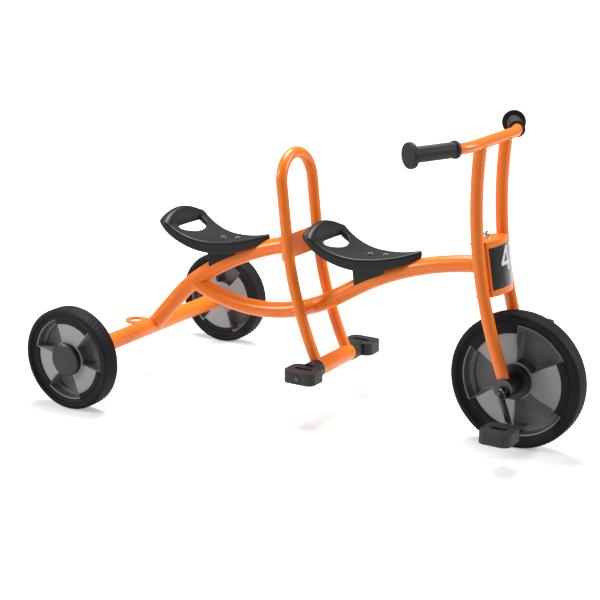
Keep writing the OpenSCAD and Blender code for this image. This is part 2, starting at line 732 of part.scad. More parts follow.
// Side view between the lower and the upper arcs, with the raised crest at the rear
module seat_side_2d() {
    polygon(concat(
        [for (x = [-seat_back + 1 : 12 : seat_nose]) [x, skirt_z(x)]], [[seat_nose - 2, 10]],
        [for (x = [seat_nose : -12 : -96]) [x, seat_top_z(x)]],
        [[-101, crest_h], [-seat_back + 7, crest_h], [-seat_back, crest_h - 12]]
    ));
}
// Top view; the side edge runs in a curve from the rear corner to the nose
function side_edge(t, inset) =
    (1 - t) * (1 - t) * [-101, seat_w / 2 - inset] + 2 * t * (1 - t) * [62, 0.31 * seat_w - inset]
    + t * t * [seat_nose - 7, 9 - inset / 2];
module seat_top_2d(inset) {
    half = concat([for (t = [0 : 0.1 : 1]) side_edge(t, inset)], [[seat_nose, 5 - inset / 2]]);
    polygon(concat(
        [[-seat_back, seat_w / 2 - 10 - inset], [-seat_back + 4, seat_w / 2 - 3 - inset]], half,
        [for (i = [len(half) - 1 : -1 : 0]) [half[i][0], -half[i][1]]],
        [[-seat_back + 4, inset + 3 - seat_w / 2], [-seat_back, inset + 10 - seat_w / 2]]
    ));
}
// Hollow below the saddle, open downward
module seat_hollow() {
    intersection() {
        translate([0, seat_w / 2, 0]) rotate([90, 0, 0]) linear_extrude(seat_w) polygon(concat(
            [[-42, -60], [seat_nose - 24, -60]],
            [for (x = [seat_nose - 24 : -12 : -42]) [x, seat_top_z(x) - seat_skin]], [[-42, 0]]
        ));
        translate([0, 0, -60]) linear_extrude(100) seat_top_2d(seat_skin);
    }
}
module saddle() {
    difference() {
        intersection() {
            translate([0, seat_w / 2, 0]) rotate([90, 0, 0]) linear_extrude(seat_w) seat_side_2d();
            translate([0, 0, -60]) linear_extrude(140) seat_top_2d(0);
            translate([-200, 0, crest_h - crest_r]) rotate([0, 90, 0]) cylinder(r = crest_r, h = 400, $fn = 180);
        }
        translate([0, 0, -60]) linear_extrude(160) intersection() {
            translate([-92, -slot_w / 2]) square([36, slot_w]);
            translate([-122, 0]) circle(r = 66);
        }
        seat_hollow();
        for (x = screw_places) {
            translate([x, 0, -20]) cylinder(r = screw_r, h = 60);
            translate([x, 0, seat_top_z(x)]) cylinder(r = screw_r + 3, h = 20);
        }
    }
}
// Block between a saddle and its tube, whose middle line runs through the places in spine
module saddle_bracket(x0, z0, spine) {
    difference() {
        translate([0, bracket_w / 2, 0]) rotate([90, 0, 0]) linear_extrude(bracket_w) polygon(concat(
            spine, [for (x = [52 : -12 : -32]) [x0 + x, z0 + seat_top_z(x) - seat_skin]]
        ));
        for (x = screw_places) translate([x0 + x, 0, z0 - screw_l]) cylinder(r = screw_r, h = 40);
    }
}
module seat_screw(x) {
    translate([x, 0, -screw_l]) cylinder(r = screw_r, h = seat_top_z(x) + screw_l + 1);
    translate([x, 0, seat_top_z(x)]) cylinder(r = screw_r + 3, h = 2.5);
}
front_seat_z = main_z(front_seat_x) + seat_rise;
rear_seat_z = arch_z(rear_seat_x) + seat_rise;
module front_seat_place() { frame_place() translate([front_seat_x, 0, front_seat_z]) children(); }
module rear_seat_place() { frame_place() translate([rear_seat_x, 0, rear_seat_z]) children(); }
module front_seat() {
    color(seat_black) difference() {
        front_seat_place() saddle();
        frame_place() main_run(main_r + side_gap, 0);
    }
}
module rear_seat() {
    color(seat_black) difference() {
        rear_seat_place() saddle();
        frame_place() arch_run(tube_r + side_gap, 0);
    }
}
module front_seat_bracket() {
    color(seat_black) frame_place() difference() {
        saddle_bracket(front_seat_x, front_seat_z,
                       [for (x = [-24, 8, 42]) [front_seat_x + x, main_z(front_seat_x + x)]]);
        main_run(main_r, 0);
    }
}
module rear_seat_bracket() {
    color(seat_black) frame_place() difference() {
        saddle_bracket(rear_seat_x, rear_seat_z,
                       [for (x = [-24, 8, 42]) [rear_seat_x + x, arch_z(rear_seat_x + x)]]);
        arch_run(tube_r, 0);
    }
}
module seat_screws() {
    color(zinc) {
        front_seat_place() for (x = screw_places) seat_screw(x);
        rear_seat_place() for (x = screw_places) seat_screw(x);
    }
}

// ---- fork ----
module fork_tube() {
    difference() {
        fork_leg(fork_r, tube_wall);
        across([wheelbase, front_z], housing_r, 2 * housing_out);
        translate([wheelbase - 60, -2 * fork_half, front_z - 20]) cube([120, 2 * fork_half, 28]);
        bar_place() rotate([90, 0, 0]) cylinder(r = bar_r, h = 3 * fork_half);
    }
}
module right_fork_tube() { color(orange_paint) frame_place() fork_tube(); }
module left_fork_tube() { color(orange_paint) frame_place() mirror([0, 1, 0]) fork_tube(); }

head_reach = 37;
head_width = 98;
head_back = 11;
head_angle = asin(head_width / 2 / head_front_r);
module on_head_front() { on_steering_axis() translate([head_reach - head_front_r, 0, 0]) children(); }
// Part of a shell around the head front's own centre line
module front_shell(r, t, half_angle, z_low, z_high) {
    translate([0, 0, z_low]) rotate([0, 0, -half_angle])
        rotate_extrude(angle = 2 * half_angle, $fn = 180) translate([r, 0]) square([t, z_high - z_low]);
}
module head_front_plate() {
    color(orange_paint) frame_place() difference() {
        on_head_front()
            front_shell(head_front_r - head_plate_t, head_plate_t, head_angle, -head_outer_half, head_outer_half);
        both_sides() fork_leg(fork_r, 0);
    }
}
module head_plate(z_low) {
    difference() {
        on_steering_axis() translate([0, 0, z_low]) linear_extrude(head_plate_t) difference() {
            intersection() {
                translate([head_reach - head_front_r, 0]) circle(r = head_front_r - head_plate_t, $fn = 180);
                translate([-head_back, -head_width / 2]) square([2 * head_reach, head_width]);
            }
            circle(r = bolt_r);
        }
        both_sides() fork_leg(fork_r, 0);
    }
}
module head_top_plate() { color(orange_paint) frame_place() head_plate(head_inner_half); }
module head_bottom_plate() { color(orange_paint) frame_place() head_plate(-head_outer_half); }

label_h = 82;
label_w = 90;
label_t = 0.8;
figure_t = 0.6;
module number_plate() {
    color(seat_black) frame_place() on_head_front()
        front_shell(head_front_r, label_t, asin(label_w / 2 / head_front_r), -label_h / 2, label_h / 2);
}
// The figure 4, drawn with straight strokes
module figure_2d() {
    difference() {
        polygon([[-17, -13], [5, -13], [5, -24], [12, -24], [12, -13], [17, -13], [17, -6], [12, -6],
                 [12, 24], [4, 24], [-17, -6]]);
        polygon([[-8, -6], [5, -6], [5, 13]]);
    }
}
module number_figure() {
    color("white") frame_place() on_head_front() intersection() {
        front_shell(head_front_r + label_t, figure_t, head_angle, -label_h / 2, label_h / 2);
        translate([0, 0, 14]) rotate([90, 0, 90]) linear_extrude(2 * head_front_r) figure_2d();
    }
}

// ---- handlebar: local origin at its middle, +X forward ----
module bar_place() { translate([bar_x, 0, bar_z]) rotate([0, -bar_droop, 0]) children(); }
grip_end_wall = 4;
bar_end_l = grip_l - grip_end_wall;
bar_bend_y = bar_mid_half + bar_bend_r * sin(bar_sweep);
bar_bend_back = bar_bend_r * (1 - cos(bar_sweep));
// Local +Z runs out along the right grip from its inner end
module right_grip_place() {
    bar_place() translate([-bar_bend_back, -bar_bend_y, 0]) rotate([90, 0, -bar_sweep]) children();
}
module handlebar() {
    color(orange_paint) frame_place() bar_place() rotate([-90, 0, -90]) tube_run(
        [-bar_bend_y - bar_end_l * cos(bar_sweep), -bar_bend_back - bar_end_l * sin(bar_sweep)], bar_sweep,
        [[bar_end_l, 0], [bar_bend_r, -bar_sweep], [2 * bar_mid_half, 0], [bar_bend_r, -bar_sweep],
         [bar_end_l, 0]], bar_r, tube_wall);
}
grip_flange_t = 8;
module grip() {
    grip_r = grip_d / 2;
    flange_r = grip_flange_d / 2;
    difference() {
        union() {
            cylinder(r = grip_r, h = grip_l);
            cylinder(r = grip_r + 2, h = 6);
            translate([0, 0, grip_l]) cylinder(r = flange_r, h = grip_flange_t - 2);
            translate([0, 0, grip_l + grip_flange_t - 2]) cylinder(r1 = flange_r, r2 = flange_r - 3, h = 2);
        }
        translate([0, 0, -1]) cylinder(r = bar_r, h = grip_l - grip_end_wall + 1);
    }
}
module right_grip() { color(rubber_black) frame_place() right_grip_place() grip(); }
module left_grip() { color(rubber_black) frame_place() mirror([0, 1, 0]) right_grip_place() grip(); }

// ---- steering bolt, from below, with washers and a cap nut on top ----
washer_t = 1.5;
bolt_head_t = 6;
cap_nut_t = 9;
cap_nut_r = 10;
module steering_bolt() {
    low = -head_outer_half - washer_t;
    color(zinc) frame_place() on_steering_axis() {
        translate([0, 0, low]) cylinder(r = bolt_r, h = head_outer_half + washer_t + cap_nut_t - 2 - low);
        translate([0, 0, low - bolt_head_t]) cylinder(r = bolt_r + 4, h = bolt_head_t, $fn = 6);
    }
}
module steering_washers() {
    color(zinc) frame_place() on_steering_axis() for (z = [head_outer_half, -head_outer_half - washer_t])
        translate([0, 0, z]) difference() {
            cylinder(r = bolt_r + 5, h = washer_t);
            translate([0, 0, -1]) cylinder(r = bolt_r, h = washer_t + 2);
        }
}
module steering_cap_nut() {
    color(zinc) frame_place() on_steering_axis() translate([0, 0, head_outer_half + washer_t]) difference() {
        union() {
            cylinder(r = cap_nut_r, h = cap_nut_t - 1, $fn = 6);
            translate([0, 0, cap_nut_t - 1]) intersection() {
                translate([0, 0, -3]) sphere(r = 9);
                cylinder(r = 9, h = 7);
            }
        }
        translate([0, 0, -1]) cylinder(r = bolt_r, h = cap_nut_t - 2 + 1);
    }
}

// ---- front axle housings ----
module axle_housing() {
    translate([0, 0, housing_in]) difference() {
        cylinder(r = housing_r, h = housing_out - housing_in);
        translate([0, 0, -1]) cylinder(r = housing_bush_r, h = housing_out - housing_in + 2);
    }
}
module housing_bush() {
    translate([0, 0, housing_in]) difference() {
        cylinder(r = housing_bush_r, h = housing_out - housing_in);
        translate([0, 0, -1]) cylinder(r = crank_rod_r + run_gap, h = housing_out - housing_in + 2);
    }
}
module right_axle_housing() { color(steel_black) front_place() axle_housing(); }
module left_axle_housing() { color(steel_black) front_place() mirror([0, 0, 1]) axle_housing(); }
module axle_housing_bushes() {
    color(zinc) front_place() {
        housing_bush();
        mirror([0, 0, 1]) housing_bush();
    }
}

// ---- what is drawn ----
rear_axle_tube();
tow_eye();
rear_arch_tube();
main_tube();
hoop_tube();
hoop_bridge_plate();
hoop_spacers();
foot_tube();
head_tube();
upper_head_bush();
lower_head_bush();
front_seat();
rear_seat();
front_seat_bracket();
rear_seat_bracket();
seat_screws();
right_foot_peg();
left_foot_peg();
foot_peg_bolts();
rear_axle_rod();
axle_tube_plugs();
rear_axle_nuts();
right_fork_tube();
left_fork_tube();
head_front_plate();
head_top_plate();
head_bottom_plate();
number_plate();
number_figure();
handlebar();
right_grip();
left_grip();
steering_bolt();
steering_cap_nut();
steering_washers();
right_axle_housing();
left_axle_housing();
axle_housing_bushes();
front_tyre();
front_rim();
right_hub_flange();
left_hub_flange();
crank_axle();
right_pedal();
left_pedal();
right_pedal_cap();
left_pedal_cap();
right_rear_tyre();
right_rear_rim();
right_hub_cap();
right_wheel_bushes();
left_rear_tyre();
left_rear_rim();
left_hub_cap();
left_wheel_bushes();
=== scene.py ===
"""Looks of the children's tandem tricycle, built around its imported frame.

Lengths in the shape functions are millimetres in the tricycle's own frame: x = 0 below the rear
axle, y = 0 in the middle plane, z = 0 on the floor.  place() turns them into the row frame.
"""

import math

import bpy
import numpy as np
from mathutils import Matrix, Vector


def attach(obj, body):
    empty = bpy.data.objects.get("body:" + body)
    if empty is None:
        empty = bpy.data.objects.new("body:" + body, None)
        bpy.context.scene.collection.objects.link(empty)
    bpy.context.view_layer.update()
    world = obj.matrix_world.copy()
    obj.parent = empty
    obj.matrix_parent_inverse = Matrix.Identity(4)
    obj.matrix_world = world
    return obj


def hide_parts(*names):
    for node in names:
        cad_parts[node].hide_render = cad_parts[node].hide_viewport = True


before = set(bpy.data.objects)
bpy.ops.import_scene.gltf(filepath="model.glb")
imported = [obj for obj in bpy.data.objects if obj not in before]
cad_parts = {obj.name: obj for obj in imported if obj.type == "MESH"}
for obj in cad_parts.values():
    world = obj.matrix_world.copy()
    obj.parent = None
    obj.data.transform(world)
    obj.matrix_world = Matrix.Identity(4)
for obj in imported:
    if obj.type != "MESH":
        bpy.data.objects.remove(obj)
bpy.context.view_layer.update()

# ---- sizes shared with the frame, in millimetres and degrees ----
MID_X = 462.0
WHEELBASE = 896.0
TRACK = 571.0
REAR_Z, FRONT_Z = 110.0, 138.0
TUBE_R, MAIN_R, HOOP_R, FORK_R, BAR_R = 18.0, 17.5, 12.0, 12.5, 11.0
TUBE_SIDES, SLIM_SIDES = 40, 36
HOOP_HALF, HOOP_LEAN = 60.0, 6.0
FORK_HALF = 58.0
BAR = (827.279, 608.0)
SEATS = {"front": (557.0, 348.116), "rear": (194.0, 338.553)}


# ---- mesh helpers ----
def place(points):
    """Own frame in millimetres to row frame in metres: shift x by the middle, then scale."""
    p = np.asarray(points, float).reshape(-1, 3)
    return (p - (MID_X, 0.0, 0.0)) / 1000.0


def make_piece(name, points, faces, body, material, replaces):
    """A smooth mesh object at the origin, from points in millimetres and a list of face index
    tuples, that shows instead of the named CAD nodes."""
    mesh = bpy.data.meshes.new(name)
    mesh.from_pydata(place(points).tolist(), [], faces)
    mesh.polygons.foreach_set("use_smooth", np.full(len(mesh.polygons), True))
    mesh.update()
    piece = bpy.data.objects.new(name, mesh)
    bpy.context.scene.collection.objects.link(piece)
    mesh.materials.append(material)
    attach(piece, body)
    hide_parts(*replaces)


def grid_faces(rows, cols, wrap_rows=False):
    """Quads of a rows x cols grid, numbered row by row.  Each row is a closed ring, and the last
    row joins the first where wrap_rows is true."""
    rr, cc = np.meshgrid(np.arange(rows if wrap_rows else rows - 1), np.arange(cols), indexing="ij")
    r2, c2 = (rr + 1) % rows, (cc + 1) % cols
    quads = np.stack([rr * cols + cc, rr * cols + c2, r2 * cols + c2, r2 * cols + cc], -1)
    return [tuple(q) for q in quads.reshape(-1, 4).tolist()]


def capped_grid(rows, cols):
    """Faces of a tube-like grid with both end rings closed by one face each."""
    last = (rows - 1) * cols
    return grid_faces(rows, cols) + [tuple(range(cols - 1, -1, -1)), tuple(range(last, last + cols))]


def facing(points, faces, flip):
    """The same shell with its faces turned round where flip is true."""
    return points, [tuple(reversed(q)) for q in faces] if flip else faces


def join_shells(shells):
    """Several (points, faces) shells as one: faces are renumbered past the earlier points."""
    points, faces, first = [], [], 0
    for p, f in shells:
        points.append(p)
        faces += [tuple(i + first for i in face) for face in f]
        first += len(p)
    return np.concatenate(points), faces


# ---- curves ----
STRAIGHT_STEP, BEND_STEP, FEWEST_IN_BEND = 30.0, 6.0, 8


def run(start, heading, path):
    """Plane curve of straight lengths (length, 0) and bends (radius, turn): centre-line points
    and headings.  A bend's centre lies square to the heading, on the side of its turn."""
    p, h = np.array(start, float), math.radians(heading)
    points, headings = [p[None]], [np.array([h])]
    for size, turn in path:
        t = math.radians(turn)
        if turn == 0:
            n = max(2, int(size / STRAIGHT_STEP))
            s = np.linspace(0, size, n + 1)[1:, None]
            q = p + s * (math.cos(h), math.sin(h))
            k = np.full(n, h)
        else:
            n = max(FEWEST_IN_BEND, int(abs(t) * size / BEND_STEP))
            a = np.linspace(0, t, n + 1)[1:]
            side = math.copysign(1.0, turn)
            c = p + side * size * np.array([-math.sin(h), math.cos(h)])
            k = h + a
            q = c + side * size * np.stack([np.sin(k), -np.cos(k)], 1)
        points.append(q)
        headings.append(k)
        p, h = q[-1], k[-1]
    return np.concatenate(points), np.concatenate(headings)


def sweep(centres, across_a, across_b, radius, sides):
    """Tube round a centre line: centre + radius * (cos(t) * a + sin(t) * b) in each ring."""
    t = np.linspace(0, 2 * np.pi, sides, endpoint=False)[None, :, None]
    ring = np.cos(t) * across_a[:, None] + np.sin(t) * across_b[:, None]
    return (centres[:, None] + radius * ring).reshape(-1, 3), capped_grid(len(centres), sides)


def tube_in_plane(start, heading, path, radius, to_space, sides=TUBE_SIDES):
    """Tube round a plane run; to_space carries plane vectors (u, v, w) into x, y, z by a matrix
    and an origin, and w is the plane's normal."""
    p, h = run(start, heading, path)
    matrix, origin = to_space
    flat = np.stack([p[:, 0], p[:, 1], np.zeros(len(p))], 1)
    side = np.stack([-np.sin(h), np.cos(h), np.zeros(len(h))], 1)
    normal = np.tile([0.0, 0.0, 1.0], (len(h), 1))
    turned = [v @ np.array(matrix).T for v in (flat, side, normal)]
    return sweep(turned[0] + origin, turned[1], turned[2], radius, sides)


def upright(y=0.0):
    """Plane (u, v) = (x, z) at the given y; w points to -y."""
    return [[1, 0, 0], [0, 0, -1], [0, 1, 0]], np.array([0.0, y, 0.0])


# ---- shader groups: each puts out only values, colours or normals ----
def new_group(name, inputs, outputs):
    """An empty shader group with named float or colour sockets; returns it with its two ends."""
    group = bpy.data.node_groups.new(name, "ShaderNodeTree")
    for key, kind, value in inputs:
        socket = group.interface.new_socket(key, in_out="INPUT", socket_type=kind)
        if value is not None:
            socket.default_value = value
    for key, kind in outputs:
        group.interface.new_socket(key, in_out="OUTPUT", socket_type=kind)
    return group, group.nodes.new("NodeGroupInput"), group.nodes.new("NodeGroupOutput")


def mottle_group():
    """Cloudy change of tone: noise of the given size, spread round 1 by the given amount."""
    group, ends_in, ends_out = new_group(
        "tone_mottle",
        [("Vector", "NodeSocketVector", None), ("Size", "NodeSocketFloat", 20.0),
         ("Amount", "NodeSocketFloat", 0.1), ("Color", "NodeSocketColor", (0.5, 0.5, 0.5, 1.0))],
        [("Color", "NodeSocketColor"), ("Mask", "NodeSocketFloat")],
    )
    nodes, links = group.nodes, group.links
    noise = nodes.new("ShaderNodeTexNoise")
    noise.inputs["Detail"].default_value = 5.0
    links.new(ends_in.outputs["Vector"], noise.inputs["Vector"])
    links.new(ends_in.outputs["Size"], noise.inputs["Scale"])
    middle = nodes.new("ShaderNodeMath")
    middle.operation = "SUBTRACT"
    middle.inputs[1].default_value = 0.5
    links.new(noise.outputs["Fac"], middle.inputs[0])
    scaled = nodes.new("ShaderNodeMath")
    scaled.operation = "MULTIPLY_ADD"
    scaled.inputs[2].default_value = 1.0
    links.new(middle.outputs[0], scaled.inputs[0])
    links.new(ends_in.outputs["Amount"], scaled.inputs[1])
    tone = nodes.new("ShaderNodeVectorMath")
    tone.operation = "SCALE"
    links.new(ends_in.outputs["Color"], tone.inputs[0])
    links.new(scaled.outputs[0], tone.inputs["Scale"])
    links.new(tone.outputs[0], ends_out.inputs["Color"])
    links.new(noise.outputs["Fac"], ends_out.inputs["Mask"])
    return group


def dust_and_sheen_group():
    """Dust and rub marks, and on the orange paint a painted highlight: where faces look up and a
    coarse noise is high, the mask nears 1.
    """
    group, ends_in, ends_out = new_group(
        "dust_and_painted_sheen",
        [("Vector", "NodeSocketVector", None), ("Size", "NodeSocketFloat", 12.0),
         ("Amount", "NodeSocketFloat", 0.3)],
        [("Mask", "NodeSocketFloat")],
    )
    nodes, links = group.nodes, group.links
    geometry = nodes.new("ShaderNodeNewGeometry")
    split = nodes.new("ShaderNodeSeparateXYZ")
    links.new(geometry.outputs["Normal"], split.inputs[0])
    up = nodes.new("ShaderNodeMapRange")
    up.inputs["From Min"].default_value = 0.1
    up.inputs["From Max"].default_value = 0.95
    links.new(split.outputs["Z"], up.inputs["Value"])
    noise = nodes.new("ShaderNodeTexNoise")
    noise.inputs["Detail"].default_value = 6.0
    noise.inputs["Roughness"].default_value = 0.7
    links.new(ends_in.outputs["Vector"], noise.inputs["Vector"])
    links.new(ends_in.outputs["Size"], noise.inputs["Scale"])
    patch = nodes.new("ShaderNodeMapRange")
    patch.inputs["From Min"].default_value = 0.42
    patch.inputs["From Max"].default_value = 0.75
    links.new(noise.outputs["Fac"], patch.inputs["Value"])
    both = nodes.new("ShaderNodeMath")
    both.operation = "MULTIPLY"
    links.new(up.outputs[0], both.inputs[0])
    links.new(patch.outputs[0], both.inputs[1])
    amount = nodes.new("ShaderNodeMath")
    amount.operation = "MULTIPLY"
    links.new(both.outputs[0], amount.inputs[0])
    links.new(ends_in.outputs["Amount"], amount.inputs[1])
    links.new(amount.outputs[0], ends_out.inputs["Mask"])
    return group


def grain_group():
    """Moulded grain: fine noise over a cell pattern, as a height between 0 and 1."""
    group, ends_in, ends_out = new_group(
        "moulded_grain",
        [("Vector", "NodeSocketVector", None), ("Size", "NodeSocketFloat", 900.0),
         ("Cells", "NodeSocketFloat", 0.5)],
        [("Height", "NodeSocketFloat")],
    )
    nodes, links = group.nodes, group.links
    noise = nodes.new("ShaderNodeTexNoise")
    noise.inputs["Detail"].default_value = 3.0
    cells = nodes.new("ShaderNodeTexVoronoi")
    for texture in (noise, cells):
        links.new(ends_in.outputs["Vector"], texture.inputs["Vector"])
        links.new(ends_in.outputs["Size"], texture.inputs["Scale"])
    blend = nodes.new("ShaderNodeMix")
    links.new(ends_in.outputs["Cells"], blend.inputs["Factor"])
    links.new(noise.outputs["Fac"], blend.inputs["A"])
    links.new(cells.outputs["Distance"], blend.inputs["B"])
    links.new(blend.outputs["Result"], ends_out.inputs["Height"])
    return group


def rim_painted_shade_group():
    """Mask of a rim's hollows, where shade is painted into the colour.  The smaller of |y| and | |y| -
    half track | is how far a point lies from its wheel's middle plane, and the mask rises to 1 as that
    falls below the flat faces."""
    group, ends_in, ends_out = new_group(
        "rim_painted_shade", [("Vector", "NodeSocketVector", None)], [("Mask", "NodeSocketFloat")]
    )
    nodes, links = group.nodes, group.links
    axes = nodes.new("ShaderNodeSeparateXYZ")
    links.new(ends_in.outputs["Vector"], axes.inputs[0])
    off_middle = nodes.new("ShaderNodeMath")
    off_middle.operation = "ABSOLUTE"
    links.new(axes.outputs["Y"], off_middle.inputs[0])
    past_rear = nodes.new("ShaderNodeMath")
    past_rear.operation = "SUBTRACT"
    past_rear.inputs[1].default_value = TRACK / 2000.0
    links.new(off_middle.outputs[0], past_rear.inputs[0])
    off_rear = nodes.new("ShaderNodeMath")
    off_rear.operation = "ABSOLUTE"
    links.new(past_rear.outputs[0], off_rear.inputs[0])
    nearest = nodes.new("ShaderNodeMath")
    nearest.operation = "MINIMUM"
    links.new(off_middle.outputs[0], nearest.inputs[0])
    links.new(off_rear.outputs[0], nearest.inputs[1])
    mask = nodes.new("ShaderNodeMapRange")
    mask.interpolation_type = "SMOOTHSTEP"
    mask.inputs["From Min"].default_value = 0.0126
    mask.inputs["From Max"].default_value = 0.0100
    links.new(nearest.outputs[0], mask.inputs["Value"])
    links.new(mask.outputs[0], ends_out.inputs["Mask"])
    return group


MOTTLE, DUST_AND_SHEEN, GRAIN, RIM_PAINTED_SHADE = mottle_group(), dust_and_sheen_group(), grain_group(), rim_painted_shade_group()
DUST_SIZE = 14.0


def paint_rim_shade(material, color):
    """Paints shade into a rim's hollows: mixes its base colour towards the given dark grey where the
    hollow mask is high.
    """
    nodes, links = material.node_tree.nodes, material.node_tree.links
    base = nodes["Principled BSDF"].inputs["Base Color"]
    coords = nodes.new("ShaderNodeTexCoord")
    hollow = nodes.new("ShaderNodeGroup")
    hollow.node_tree = RIM_PAINTED_SHADE
    links.new(coords.outputs["Object"], hollow.inputs["Vector"])
    painted_shade_mix = nodes.new("ShaderNodeMix")
    painted_shade_mix.data_type = "RGBA"
    painted_shade_mix.inputs[7].default_value = (*color, 1.0)
    links.new(hollow.outputs["Mask"], painted_shade_mix.inputs[0])
    links.new(base.links[0].from_socket, painted_shade_mix.inputs[6])
    links.new(painted_shade_mix.outputs[2], base)


def finish_material(name, color, roughness, mottle, grain, dust_and_sheen=0.15, dust_and_sheen_color=(0.32, 0.31, 0.29),
                    metallic=0.0, coat=0.0, coat_roughness=0.08, specular=0.5, rough_spread=0.12,
                    grain_depth=0.0002):
    """A surface finish: a mottled base colour under dust (on the orange paint a painted highlight
    instead), a roughness that follows the mottle, and grain.  mottle is (size, amount), and grain is
    (size, share of cells, strength)."""
    material = bpy.data.materials.new(name)
    material.use_nodes = True
    nodes, links = material.node_tree.nodes, material.node_tree.links
    shader = nodes["Principled BSDF"]
    shader.inputs["Metallic"].default_value = metallic
    shader.inputs["Coat Weight"].default_value = coat
    shader.inputs["Coat Roughness"].default_value = coat_roughness
    shader.inputs["Specular IOR Level"].default_value = specular
    coords = nodes.new("ShaderNodeTexCoord")

    def group_node(group, **values):
        node = nodes.new("ShaderNodeGroup")
        node.node_tree = group
        for key, value in values.items():
            node.inputs[key].default_value = value
        links.new(coords.outputs["Object"], node.inputs["Vector"])
        return node

    tone = group_node(MOTTLE, Size=mottle[0], Amount=mottle[1], Color=(*color, 1.0))
    dust_sheen_node = group_node(DUST_AND_SHEEN, Size=DUST_SIZE, Amount=dust_and_sheen)
    dust_sheen_mix = nodes.new("ShaderNodeMix")
    dust_sheen_mix.data_type = "RGBA"
    dust_sheen_mix.inputs[7].default_value = (*dust_and_sheen_color, 1.0)
    links.new(dust_sheen_node.outputs["Mask"], dust_sheen_mix.inputs[0])
    links.new(tone.outputs["Color"], dust_sheen_mix.inputs[6])
    links.new(dust_sheen_mix.outputs[2], shader.inputs["Base Color"])
    rough = nodes.new("ShaderNodeMapRange")
    rough.inputs["To Min"].default_value = max(0.02, roughness - rough_spread / 2)
    rough.inputs["To Max"].default_value = min(1.0, roughness + rough_spread / 2)
    links.new(tone.outputs["Mask"], rough.inputs["Value"])
    links.new(rough.outputs[0], shader.inputs["Roughness"])
    height = group_node(GRAIN, Size=grain[0], Cells=grain[1])
    bump = nodes.new("ShaderNodeBump")
    bump.inputs["Strength"].default_value = grain[2]
    bump.inputs["Distance"].default_value = grain_depth
    links.new(height.outputs["Height"], bump.inputs["Height"])
    links.new(bump.outputs["Normal"], shader.inputs["Normal"])
    return material


# On the orange paint the up-facing patches turn a paler orange: a painted highlight on the tops, not
# dust.
PAINT = finish_material(
    "orange_powder_coat", (0.86, 0.185, 0.010), 0.32, (9.0, 0.10), (420.0, 0.25, 0.10),
    dust_and_sheen=0.03, dust_and_sheen_color=(0.9, 0.40, 0.12), coat=0.25, coat_roughness=0.16, specular=0.35,
    grain_depth=0.0006)
SADDLE = finish_material(
    "saddle_satin_plastic", (0.009, 0.009, 0.0095), 0.38, (14.0, 0.35), (1500.0, 0.6, 0.25),
    dust_and_sheen=0.02, dust_and_sheen_color=(0.16, 0.16, 0.16), specular=0.32, grain_depth=0.0003)
TYRE = finish_material(
    "tyre_solid_rubber", (0.009, 0.009, 0.0095), 0.62, (30.0, 0.5), (800.0, 0.5, 0.45),
    dust_and_sheen=0.03, dust_and_sheen_color=(0.14, 0.135, 0.13), specular=0.18, grain_depth=0.0005)
RIM = finish_material(
    "rim_moulded_plastic", (0.27, 0.272, 0.275), 0.44, (16.0, 0.16), (1300.0, 0.5, 0.15),
    dust_and_sheen=0.05, dust_and_sheen_color=(0.45, 0.44, 0.43), grain_depth=0.0003)
# Painted shade in the rims' hollows: the base colour turns to this dark grey there.
paint_rim_shade(RIM, (0.085, 0.086, 0.088))
PEDAL = finish_material(
    "pedal_moulded_plastic", (0.008, 0.008, 0.008), 0.48, (22.0, 0.5), (1100.0, 0.7, 0.35),
    dust_and_sheen=0.05, dust_and_sheen_color=(0.14, 0.14, 0.14), grain_depth=0.0004)
GRIP = finish_material(
    "grip_soft_rubber", (0.018, 0.018, 0.019), 0.5, (26.0, 0.4), (1400.0, 0.6, 0.35),
    dust_and_sheen=0.04, dust_and_sheen_color=(0.15, 0.15, 0.15), specular=0.3, grain_depth=0.0003)
HUB = finish_material(
    "hub_black_plastic", (0.007, 0.007, 0.007), 0.42, (18.0, 0.4), (1200.0, 0.5, 0.15),
    dust_and_sheen=0.05, dust_and_sheen_color=(0.12, 0.12, 0.12))
BUSH = finish_material(
    "bush_bearing_plastic", (0.06, 0.06, 0.062), 0.45, (25.0, 0.25), (900.0, 0.5, 0.1))
BLACK_STEEL = finish_material(
    "crank_black_lacquer", (0.010, 0.010, 0.010), 0.22, (20.0, 0.3), (700.0, 0.2, 0.05),
    dust_and_sheen=0.03, dust_and_sheen_color=(0.1, 0.1, 0.1), coat=0.5)
ZINC = finish_material(
    "zinc_plated_steel", (0.62, 0.62, 0.60), 0.30, (60.0, 0.2), (900.0, 0.3, 0.1),
    dust_and_sheen=0.05, metallic=1.0)
CHROME = finish_material(
    "chrome_cap", (0.82, 0.82, 0.83), 0.12, (40.0, 0.05), (500.0, 0.2, 0.02),
    dust_and_sheen=0.03, metallic=1.0, rough_spread=0.06)
LABEL = finish_material(
    "number_plate_gloss", (0.006, 0.006, 0.007), 0.22, (30.0, 0.3), (300.0, 0.2, 0.03),
    dust_and_sheen=0.02, dust_and_sheen_color=(0.1, 0.1, 0.1), coat=0.8)
FIGURE = finish_material(
    "figure_gloss", (0.70, 0.70, 0.69), 0.25, (50.0, 0.06), (300.0, 0.2, 0.03),
    dust_and_sheen=0.03, coat=0.6)

